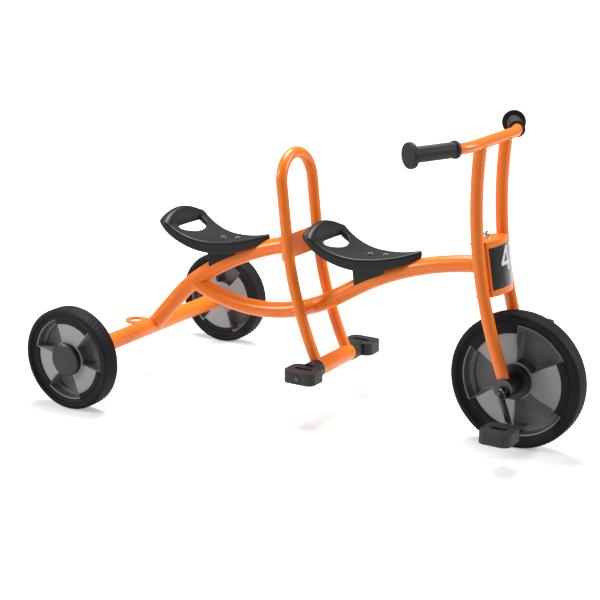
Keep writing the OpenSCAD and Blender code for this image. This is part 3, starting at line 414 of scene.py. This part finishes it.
NODE_FINISH = {
    PAINT: "rear_axle_tube tow_eye rear_arch_tube main_tube hoop_tube hoop_bridge_plate hoop_spacers "
           "foot_tube head_tube right_fork_tube left_fork_tube head_front_plate head_top_plate "
           "head_bottom_plate handlebar",
    SADDLE: "front_seat rear_seat front_seat_bracket rear_seat_bracket",
    PEDAL: "right_foot_peg left_foot_peg right_pedal left_pedal",
    GRIP: "right_grip left_grip",
    TYRE: "front_tyre right_rear_tyre left_rear_tyre",
    RIM: "front_rim right_rear_rim left_rear_rim",
    HUB: "right_hub_cap left_hub_cap right_hub_flange left_hub_flange right_pedal_cap left_pedal_cap",
    BUSH: "upper_head_bush lower_head_bush axle_tube_plugs axle_housing_bushes right_wheel_bushes "
          "left_wheel_bushes",
    BLACK_STEEL: "right_axle_housing left_axle_housing crank_axle foot_peg_bolts",
    ZINC: "seat_screws rear_axle_rod rear_axle_nuts steering_bolt steering_washers",
    CHROME: "steering_cap_nut",
    LABEL: "number_plate",
    FIGURE: "number_figure",
}
for material, names in NODE_FINISH.items():
    for node_name in names.split():
        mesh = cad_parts[node_name].data
        mesh.materials.clear()
        mesh.materials.append(material)


# ---- frame tubes ----
ARCH_HEADING, MAIN_HEADING, FORK_HEADING = 47.0, -22.5, 109.0
ARCH_PATH = [(115.0, 0), (341.887, -11.5), (649.06, -24.5), (3.0, 0)]
MAIN_PATH = [(24.0, 0), (382.061, 53.0), (55.0, 0), (635.448, -25.5), (30.0, 0)]
BRANCH = (117.984, 230.35)
HOOP_PATH = [(108.0, 0), (790.0, 18.5), (26.0, 0)]
HOOP_TOP = (386.0, REAR_Z + 372.0)
FORK_PATH = [(75.0, 0), (914.0, -24.3), (13.2, 0)]


def build_tubes():
    """Arch, main and fork tubes: plane runs in upright planes."""
    p, f = tube_in_plane((0.0, REAR_Z), ARCH_HEADING, ARCH_PATH, TUBE_R, upright())
    make_piece("arch_tube_skin", p, f, "frame", PAINT, ["rear_arch_tube"])
    p, f = tube_in_plane(BRANCH, MAIN_HEADING, MAIN_PATH, MAIN_R, upright())
    make_piece("main_tube_skin", p, f, "frame", PAINT, ["main_tube"])
    for side, y in (("right", -FORK_HALF), ("left", FORK_HALF)):
        axle = (WHEELBASE, FRONT_Z)
        p, f = tube_in_plane(axle, FORK_HEADING, FORK_PATH, FORK_R, upright(y))
        make_piece(side + "_fork_skin", p, f, "fork", PAINT, [side + "_fork_tube"])


def build_hoop():
    """Hoop: right leg from foot to top, half circle across, left leg down, as one swept tube."""
    p, h = run(HOOP_TOP, HOOP_LEAN - 90.0, HOOP_PATH)
    leg = np.stack([p[:, 0], np.zeros(len(p)), p[:, 1]], 1)
    side = np.stack([-np.sin(h), np.zeros(len(h)), np.cos(h)], 1)
    lean = math.radians(HOOP_LEAN)
    up = np.array([-math.sin(lean), 0.0, math.cos(lean)])
    normal = np.array([math.cos(lean), 0.0, math.sin(lean)])
    a = np.linspace(0, np.pi, 49)[1:-1, None]
    middle = np.array([HOOP_TOP[0], 0.0, HOOP_TOP[1]])
    arc = middle + HOOP_HALF * (-np.cos(a) * (0.0, 1.0, 0.0) + np.sin(a) * up)
    centres = np.concatenate([leg[::-1] - (0, HOOP_HALF, 0), arc, leg + (0, HOOP_HALF, 0)])
    across_a = np.concatenate([side[::-1], np.tile(normal, (len(arc), 1)), side])
    tangent = np.gradient(centres, axis=0)
    across_b = np.cross(tangent, across_a)
    across_b /= np.linalg.norm(across_b, axis=1)[:, None]
    p, f = sweep(centres, across_a, across_b, HOOP_R, SLIM_SIDES)
    make_piece("hoop_skin", p, f, "frame", PAINT, ["hoop_tube"])


def build_bar():
    """Handlebar: a run in a plane that is tipped by the droop; u is y and v is x."""
    turn, droop, bend_r, mid_half, end_l = 27.0, math.radians(2.0), 120.0, 83.0, 96.0
    s = math.radians(turn)
    back, out = bend_r * (1 - math.cos(s)), mid_half + bend_r * math.sin(s)
    c, n = math.cos(droop), math.sin(droop)
    to_space = [[0, c, -n], [1, 0, 0], [0, n, c]], np.array([BAR[0], 0.0, BAR[1]])
    start = (-out - end_l * math.cos(s), -back - end_l * math.sin(s))
    path = [(end_l, 0), (bend_r, -turn), (2 * mid_half, 0), (bend_r, -turn), (end_l, 0)]
    p, f = tube_in_plane(start, turn, path, BAR_R, to_space, SLIM_SIDES)
    p, f = facing(p, f, True)
    make_piece("handlebar_skin", p, f, "fork", PAINT, ["handlebar"])


build_tubes()
build_hoop()
build_bar()


# ---- saddles ----
SEAT_BACK, SEAT_NOSE, SEAT_W = -121.0, 124.0, 148.0
SEAT_REAR_R, SEAT_FRONT_R = 153.0, 330.0
CREST_H, CREST_R, CREST_START, CREST_RUN = 55.0, 134.0, -88.0, 22.0
SKIRT_LOW_X, SKIRT_REAR_R, SKIRT_FRONT_R, SKIRT_DROP = 11.0, 168.0, 201.0, 26.0
SLOT_HALF, SLOT_FRONT_R, SLOT_REAR_X = 46.0, 66.0, -92.0
LOOP_POINTS = 220


def sag(radius, x):
    """Rise of a circle of that radius at the distance x from its lowest point."""
    return radius - np.sqrt(radius * radius - x * x)


def smooth(t):
    """Smooth step from 0 to 1 as t goes from 0 to 1."""
    t = np.clip(t, 0, 1)
    return t * t * (3 - 2 * t)


def seat_height(x, y):
    """Top of a saddle: two arcs along x with a shallow dish, lifted at the rear by a smooth step up
    to the crest, whose height falls to both sides as a circle, and dipped at the nose."""
    rear, front = sag(SEAT_REAR_R, np.clip(x, -150, 0)), sag(SEAT_FRONT_R, np.clip(x, 0, 300))
    body = np.where(x < 0, rear, front)
    body = body - 1.2 * np.exp(-((x - 12) / 60.0) ** 2) * np.exp(-(y / 26.0) ** 2)
    crest = CREST_H - CREST_R + np.sqrt(CREST_R**2 - np.clip(y, -100, 100) ** 2)
    t = smooth((CREST_START - x) / CREST_RUN)
    nose = np.clip((x - 112.0) / 12.0, 0, 1)
    return body * (1 - t) + np.maximum(crest, body - 12 * t) * t - 3.0 * nose * nose


def skirt_height(x):
    """Lower edge of a saddle's skirt: two arcs that meet at its lowest point."""
    d = x - SKIRT_LOW_X
    rear, front = sag(SKIRT_REAR_R, np.clip(d, -160, 0)), sag(SKIRT_FRONT_R, np.clip(d, 0, 190))
    return np.where(d < 0, rear, front) - SKIRT_DROP


def resample(loop, count, passes):
    """A closed loop of points spaced evenly by length, after rounding its corners by averaging."""
    loop = np.concatenate([loop, loop[:1]])
    length = np.concatenate([[0], np.cumsum(np.linalg.norm(np.diff(loop, axis=0), axis=1))])
    s = np.linspace(0, length[-1], count, endpoint=False)
    even = np.stack([np.interp(s, length, loop[:, k]) for k in (0, 1)], 1)
    for _ in range(passes):
        even = (np.roll(even, 1, 0) + 2 * even + np.roll(even, -1, 0)) / 4
    return even


def loop_normals(loop):
    """Outward normals of a counter-clockwise closed loop in the plane."""
    t = np.roll(loop, -1, 0) - np.roll(loop, 1, 0)
    n = np.stack([t[:, 1], -t[:, 0]], 1)
    return n / np.linalg.norm(n, axis=1)[:, None]


def seat_outline():
    """Plan of a saddle from the nose round by its left side: the side follows a parabola blended
    from the rear corner to the nose, mirrored for the right side."""
    t = np.linspace(1, 0, 40)[:, None]
    rear, waist, front = (-101.0, SEAT_W / 2), (62.0, 0.31 * SEAT_W), (117.0, 9.0)
    edge = (1 - t) ** 2 * rear + 2 * t * (1 - t) * waist + t**2 * front
    half = np.concatenate([[(SEAT_NOSE, 0.0), (SEAT_NOSE, 4.0)], edge,
                           [(SEAT_BACK + 4, SEAT_W / 2 - 3), (SEAT_BACK, SEAT_W / 2 - 10)]])
    return resample(np.concatenate([half, (half * (1, -1))[:0:-1]]), LOOP_POINTS, 10)


def slot_outline():
    """Plan of the hand slot from its front middle round by its left end: a circle's arc in front,
    a straight edge behind."""
    y = np.linspace(0, SLOT_HALF, 24)
    front = np.stack([-122.0 + np.sqrt(SLOT_FRONT_R**2 - y**2), y], 1)
    rear = np.stack([np.full(12, SLOT_REAR_X), np.linspace(SLOT_HALF, 0, 12)], 1)
    half = np.concatenate([front, rear])
    return resample(np.concatenate([half, (half * (1, -1))[:0:-1]]), LOOP_POINTS, 5)


def saddle(name, body, centre, node):
    """A saddle as one ring-shaped surface.  The first parameter goes round between the slot's and
    the outline's loops; the second goes up the slot's wall, over the top, round the edge, down
    the skirt, round its lip and back below the top."""
    outer, inner = seat_outline(), slot_outline()
    outer_normal, inner_normal = loop_normals(outer), loop_normals(inner)
    skin, edge_r, slot_r, slot_wall, lip, taper = 4.5, 5.0, 2.5, 13.0, 3.6, 0.8
    rings = []

    def add(plan, z):
        rings.append(np.column_stack([plan, np.broadcast_to(z, (LOOP_POINTS,))]))

    # the slot's wall and its rounded upper edge
    slot_top = seat_height(inner[:, 0], inner[:, 1])
    wall_low = slot_top - slot_wall
    slot_edge = inner + slot_r * inner_normal
    add(slot_edge, wall_low)
    for k in np.linspace(0, 1, 5):
        add(inner, wall_low + k * (slot_top - slot_r - wall_low))
    for a in np.radians([22, 45, 67, 90]):
        plan = inner + slot_r * (1 - math.cos(a)) * inner_normal
        add(plan, seat_height(plan[:, 0], plan[:, 1]) - slot_r * (1 - math.sin(a)))
    # the top, out to the rounded outer edge
    top_end = outer - edge_r * outer_normal
    for t in np.linspace(0, 1, 26)[1:]:
        plan = slot_edge + (top_end - slot_edge) * t
        add(plan, seat_height(plan[:, 0], plan[:, 1]))
    edge_z = seat_height(top_end[:, 0], top_end[:, 1])
    for a in np.radians([12, 25, 40, 55, 70, 82, 90]):
        add(top_end + edge_r * math.sin(a) * outer_normal, edge_z - edge_r * (1 - math.cos(a)))
    # the skirt, its lip, and the underside back to the slot
    low = np.minimum(skirt_height(outer[:, 0]), edge_z - edge_r - 5.0)
    for k in np.linspace(0, 1, 8)[1:]:
        add(outer - taper * k * outer_normal, edge_z - edge_r + k * (low + lip / 2 - edge_z + edge_r))
    for a in np.radians([45, 90, 135, 180]):
        inset = taper + lip / 2 * (1 - math.cos(a))
        add(outer - inset * outer_normal, low + lip / 2 * (1 - math.sin(a)))
    under = outer - (taper + lip) * outer_normal
    under_z = np.maximum(edge_z - edge_r - 2.0, low + lip)
    for t in np.linspace(0, 1, 12)[:-1]:
        plan = under + (slot_edge - under) * t
        roof = seat_height(plan[:, 0], plan[:, 1]) - skin
        add(plan, np.minimum(roof, under_z + 30 * t))
    points = np.concatenate(rings) + (centre[0], 0.0, centre[1])
    points, faces = facing(points, grid_faces(len(rings), LOOP_POINTS, wrap_rows=True), True)
    make_piece(name, points, faces, body, SADDLE, [node])


for which, seat_place in SEATS.items():
    saddle(which + "_saddle", "frame", seat_place, which + "_seat")


# ---- wheels: local axes are forward, up and outward ----
RIM_HALF = 13.0
LIP_HALF = 16.0
TYRE_STEPS = 540
REAR_TYRE, FRONT_TYRE = (110.0, 42.0, 88.0, 77.0), (138.0, 44.0, 114.0, 97.0)
REAR_RIM, FRONT_RIM = (88.0, 77.0, 9.05, 38.0), (114.0, 97.0, 6.5, 38.0)
FRONT_PHASE, REAR_PHASE = 0, 80


def wheel_space(centre, outward):
    """Matrix and origin that carry (forward, up, outward) to x, y, z."""
    return np.array([[1, 0, 0], [0, 0, outward], [0, 1, 0]], float), np.array(centre, float)


def tread(angle, across, radius, half):
    """Depth of the tread: slanted shallow cuts on the crown that fade out at the shoulders, a groove
    along the middle and one along each side."""
    band = np.clip((0.92 - np.abs(across) / half) / 0.15, 0, 1)
    count = round(radius * 0.62)
    lugs = 0.5 + 0.5 * np.sign(np.sin(angle * count + np.abs(across) / 2.6))
    groove = np.exp(-((np.abs(across) - 0.55 * half) / 0.9) ** 2) + np.exp(-(across / 0.9) ** 2)
    return band * (0.7 * lugs + 1.0 * groove)


def tyre(name, body, node, centre, outward, sizes, phase):
    """A tyre: its section turned round the axle, with the tread cut into the crown, and a lip
    over each flat sector of the rim on both sides."""
    tyre_r, tyre_w, rim_r, flat_r = sizes
    half, shoulder_r = tyre_w / 2, 8.0
    a = np.radians(np.arange(0, 91, 15))
    corner = (tyre_r - shoulder_r, half - shoulder_r)
    shoulder = np.stack([np.cos(a), np.sin(a)], 1) * shoulder_r + corner
    crown_w = np.linspace(0, half - shoulder_r, 9)[:-1]
    crown = np.stack([tyre_r - 0.8 * (crown_w / half) ** 2, crown_w], 1)
    side = np.array([[tyre_r - 14, half - 0.2], [tyre_r - 0.6 * (tyre_r - rim_r), half - 1.0],
                     [rim_r + 5, 17.6], [rim_r + 2.5, 16.4], [rim_r + 0.4, 15.2], [rim_r, 13.5]])
    upper = np.concatenate([crown, shoulder, side])
    section = np.concatenate([upper[::-1] * (1, -1), upper[1:]])
    t = np.linspace(0, 2 * np.pi, TYRE_STEPS, endpoint=False)
    r, w = section[:, :1], section[:, 1:]
    on_crown = np.clip((r - (tyre_r - 5)) / 4.0, 0, 1)
    cut = on_crown * tread(t[None], w, tyre_r, half - 2)
    rr = r - cut
    flat = np.stack([rr * np.cos(t), rr * np.sin(t), np.broadcast_to(w, rr.shape)], -1)
    matrix, origin = wheel_space(centre, outward)
    faces = grid_faces(len(section), TYRE_STEPS, wrap_rows=True)
    shells = [facing(flat.reshape(-1, 3) @ matrix.T + origin, faces, outward > 0)]
    for k in range(3):
        for face, shift in ((1, -30), (-1, 30)):
            p, f = lip_sector(phase + shift + 120 * k, flat_r, rim_r, face)
            shells.append(facing(p @ matrix.T + origin, f, (outward > 0) != (face < 0)))
    p, f = join_shells(shells)
    make_piece(name, p, f, body, TYRE, [node])


def lip_sector(start, flat_r, rim_r, face):
    """A sixth of a flat ring between two radii with rounded edges, on one side of a wheel."""
    seat = RIM_HALF + 0.05
    section = np.array([[flat_r, seat], [flat_r, LIP_HALF - 1.4], [flat_r + 0.5, LIP_HALF - 0.6],
                        [flat_r + 1.3, LIP_HALF - 0.2], [rim_r - 3, LIP_HALF],
                        [rim_r + 2.0, LIP_HALF], [rim_r + 2.0, seat]])
    inside = 40
    around = np.concatenate([[0.0, 0.3], np.linspace(1, 59, inside), [59.7, 60.0]])
    a = np.radians(start + around)
    ease = np.array([0.8, 0.25] + [0.0] * inside + [0.25, 0.8])
    r = np.broadcast_to(section[:, 0], (len(a), len(section)))
    w = section[:, 1] - ease[:, None] * (section[:, 1] - seat)
    points = np.stack([r * np.cos(a)[:, None], r * np.sin(a)[:, None], face * w], -1).reshape(-1, 3)
    return points, capped_grid(len(a), len(section))


def rim(name, body, node, centre, outward, sizes, phase):
    """A rim with two relief faces.  Over radius and angle each face is flat in three sectors and
    sinks to a floor in the other three; a sunk face has a hub barrel, a stepped outer wall and
    steep sides, all with small rounded edges from a smooth step."""
    rim_r, flat_r, bore_r, barrel_r = sizes
    radii = np.concatenate([
        [bore_r, bore_r + 0.01], np.linspace(bore_r + 2, barrel_r - 1, 3),
        barrel_r + np.array([-0.4, 0.0, 0.5, 1.2, 2.0]), np.linspace(barrel_r + 4, flat_r - 5, 10),
        flat_r + np.array([-3.0, -1.6, -0.8, 0, 0.8]), np.linspace(flat_r + 2, rim_r - 4, 8),
        rim_r - np.array([2.6, 1.4, 0.5, 0.01])])
    edge = np.array([-1.6, -1.0, -0.6, -0.2, 0.2, 0.6, 1.0, 1.6])
    inside = np.linspace(3, 57, 22)
    base = np.concatenate([inside, 60 + edge, 60 + inside, 120 + edge])
    angles = np.sort(np.concatenate([base + 120 * k for k in range(3)]) % 360)

    floor_low = -9.5

    def step(v, lo, hi):
        return smooth((v - lo) / (hi - lo))

    def face_height(r, a, turn):
        around = (a - turn + 30) % 120
        off = np.minimum(np.abs(around - 60), np.minimum(around, 120 - around))
        sunk = np.where(around > 60, step(off * math.pi / 180 * r, 1.2, 3.2), 0.0)
        floor = floor_low + 5.2 * step(r, flat_r - 2.5, flat_r + 0.5) + step(r, flat_r + 1, flat_r + 6)
        wall_rise = step(r, flat_r + (rim_r - flat_r) * 0.42, rim_r - 1.0) ** 1.4
        wall = floor + (RIM_HALF - floor) * wall_rise
        hollow = RIM_HALF + (wall - RIM_HALF) * step(r, barrel_r - 0.5, barrel_r + 1.8)
        ribs = 0.18 * np.exp(-((around - 30) * r / 60) ** 2) * step(r, barrel_r, barrel_r + 8)
        return RIM_HALF - ribs + (hollow - RIM_HALF) * sunk

    r, a = np.meshgrid(radii, angles, indexing="ij")
    top = face_height(r, a, phase)
    under = -face_height(r, a, phase + 60)
    thinnest = 2.6
    gap = np.maximum(0, thinnest - (top - under)) / 2
    r_all = np.concatenate([r, r[::-1]])
    a_all = np.radians(np.concatenate([a, a[::-1]]))
    w_all = np.concatenate([top + gap, (under - gap)[::-1]])
    flat = np.stack([r_all * np.cos(a_all), r_all * np.sin(a_all), w_all], -1).reshape(-1, 3)
    matrix, origin = wheel_space(centre, outward)
    faces = grid_faces(len(radii) * 2, len(angles), wrap_rows=True)
    p, f = facing(flat @ matrix.T + origin, faces, outward < 0)
    make_piece(name, p, f, body, RIM, [node])


front_axle = (WHEELBASE, 0.0, FRONT_Z)
tyre("front_tread_tyre", "front_wheel", "front_tyre", front_axle, -1, FRONT_TYRE, FRONT_PHASE)
rim("front_relief_rim", "front_wheel", "front_rim", front_axle, -1, FRONT_RIM, FRONT_PHASE)
for side, out in (("right", -1), ("left", 1)):
    hub, wheel = (0.0, out * TRACK / 2, REAR_Z), side + "_rear_wheel"
    tyre(side + "_tread_tyre", wheel, side + "_rear_tyre", hub, out, REAR_TYRE, REAR_PHASE)
    rim(side + "_relief_rim", wheel, side + "_rear_rim", hub, out, REAR_RIM, REAR_PHASE)


# ---- floor, light and camera ----
FLOOR_HALF = 14.0
FLOOR_GLOW, FAR_GLOW, NEAR_R, FAR_R = 0.36, 1.2, 0.6, 2.2
WORLD_SEEN, WORLD_LIGHT = 1.25, 0.22
CAMERA_AZIMUTH, CAMERA_ELEVATION = math.radians(31.497), math.radians(15.918)
CAMERA_PLACE = (1.52223, -2.57759, 1.07887)
CAMERA_LENS, CAMERA_SHIFT = 88.89, (-0.0085, 0.0082)


def seen_only(tree, seen, other):
    """A value that is one number for what the camera sees directly and another for light."""
    path = tree.nodes.new("ShaderNodeLightPath")
    value = tree.nodes.new("ShaderNodeMapRange")
    value.inputs["To Min"].default_value = other
    value.inputs["To Max"].default_value = seen
    tree.links.new(path.outputs["Is Camera Ray"], value.inputs["Value"])
    return value.outputs[0]


def build_stage():
    """A wide pale floor.  What the camera sees of it glows faintly, and more with the distance from
    the tricycle, so that it meets the white surroundings while the soft shadows stay."""
    mesh = bpy.data.meshes.new("studio_floor")
    corners = [(-FLOOR_HALF, -FLOOR_HALF, 0), (FLOOR_HALF, -FLOOR_HALF, 0),
               (FLOOR_HALF, FLOOR_HALF, 0), (-FLOOR_HALF, FLOOR_HALF, 0)]
    mesh.from_pydata(corners, [], [(0, 1, 2, 3)])
    floor = bpy.data.objects.new("studio_floor", mesh)
    bpy.context.scene.collection.objects.link(floor)
    material = bpy.data.materials.new("studio_floor_paper")
    material.use_nodes = True
    tree = material.node_tree
    shader = tree.nodes["Principled BSDF"]
    shader.inputs["Base Color"].default_value = (0.80, 0.80, 0.80, 1.0)
    shader.inputs["Roughness"].default_value = 0.7
    shader.inputs["Specular IOR Level"].default_value = 0.1
    shader.inputs["Emission Color"].default_value = (1.0, 1.0, 1.0, 1.0)
    coords = tree.nodes.new("ShaderNodeTexCoord")
    away = tree.nodes.new("ShaderNodeVectorMath")
    away.operation = "LENGTH"
    glow = tree.nodes.new("ShaderNodeMapRange")
    glow.interpolation_type = "SMOOTHSTEP"
    glow.inputs["From Min"].default_value = NEAR_R
    glow.inputs["From Max"].default_value = FAR_R
    glow.inputs["To Min"].default_value = FLOOR_GLOW
    glow.inputs["To Max"].default_value = FAR_GLOW
    seen = seen_only(tree, FLOOR_GLOW, 0.0)
    tree.links.new(coords.outputs["Object"], away.inputs[0])
    tree.links.new(away.outputs["Value"], glow.inputs["Value"])
    tree.links.new(glow.outputs[0], seen.node.inputs["To Max"])
    tree.links.new(seen, shader.inputs["Emission Strength"])
    mesh.materials.append(material)


def add_light(name, place_at, aim, size, power):
    """A square soft light at a point, aimed at another."""
    data = bpy.data.lights.new(name, "AREA")
    data.shape, data.size, data.energy = "SQUARE", size, power
    light = bpy.data.objects.new(name, data)
    light.location = place_at
    light.rotation_euler = (Vector(aim) - Vector(place_at)).to_track_quat("-Z", "Y").to_euler()
    bpy.context.scene.collection.objects.link(light)


def build_light():
    """Soft boxes above, at the left front and behind on the right, in white surroundings."""
    world = bpy.data.worlds.new("studio_world")
    world.use_nodes = True
    background = world.node_tree.nodes["Background"]
    background.inputs["Color"].default_value = (1.0, 1.0, 1.0, 1.0)
    strength = seen_only(world.node_tree, WORLD_SEEN, WORLD_LIGHT)
    world.node_tree.links.new(strength, background.inputs["Strength"])
    bpy.context.scene.world = world
    add_light("overhead_box", (-0.4, 0.5, 2.6), (0.0, 0.0, 0.1), 1.5, 105.0)
    add_light("left_front_box", (-2.6, -2.2, 1.9), (0.0, 0.0, 0.3), 0.9, 70.0)
    add_light("right_back_box", (2.6, 1.6, 1.7), (0.2, 0.0, 0.3), 1.0, 60.0)
    bpy.context.scene.view_settings.view_transform = "Standard"


def build_camera():
    """Three-quarter view from the front right, with a long lens."""
    right = Vector((math.cos(CAMERA_AZIMUTH), math.sin(CAMERA_AZIMUTH), 0.0))
    back = Vector((math.sin(CAMERA_AZIMUTH) * math.cos(CAMERA_ELEVATION),
                   -math.cos(CAMERA_AZIMUTH) * math.cos(CAMERA_ELEVATION),
                   math.sin(CAMERA_ELEVATION)))
    up = back.cross(right)
    data = bpy.data.cameras.new("studio_camera")
    data.lens, data.sensor_width = CAMERA_LENS, 36.0
    data.shift_x, data.shift_y = CAMERA_SHIFT
    data.clip_end = 60.0
    camera = bpy.data.objects.new("studio_camera", data)
    turn = Matrix((right, up, back)).transposed().to_4x4()
    camera.matrix_world = Matrix.Translation(CAMERA_PLACE) @ turn
    bpy.context.scene.collection.objects.link(camera)
    bpy.context.scene.camera = camera


build_stage()
build_light()
build_camera()
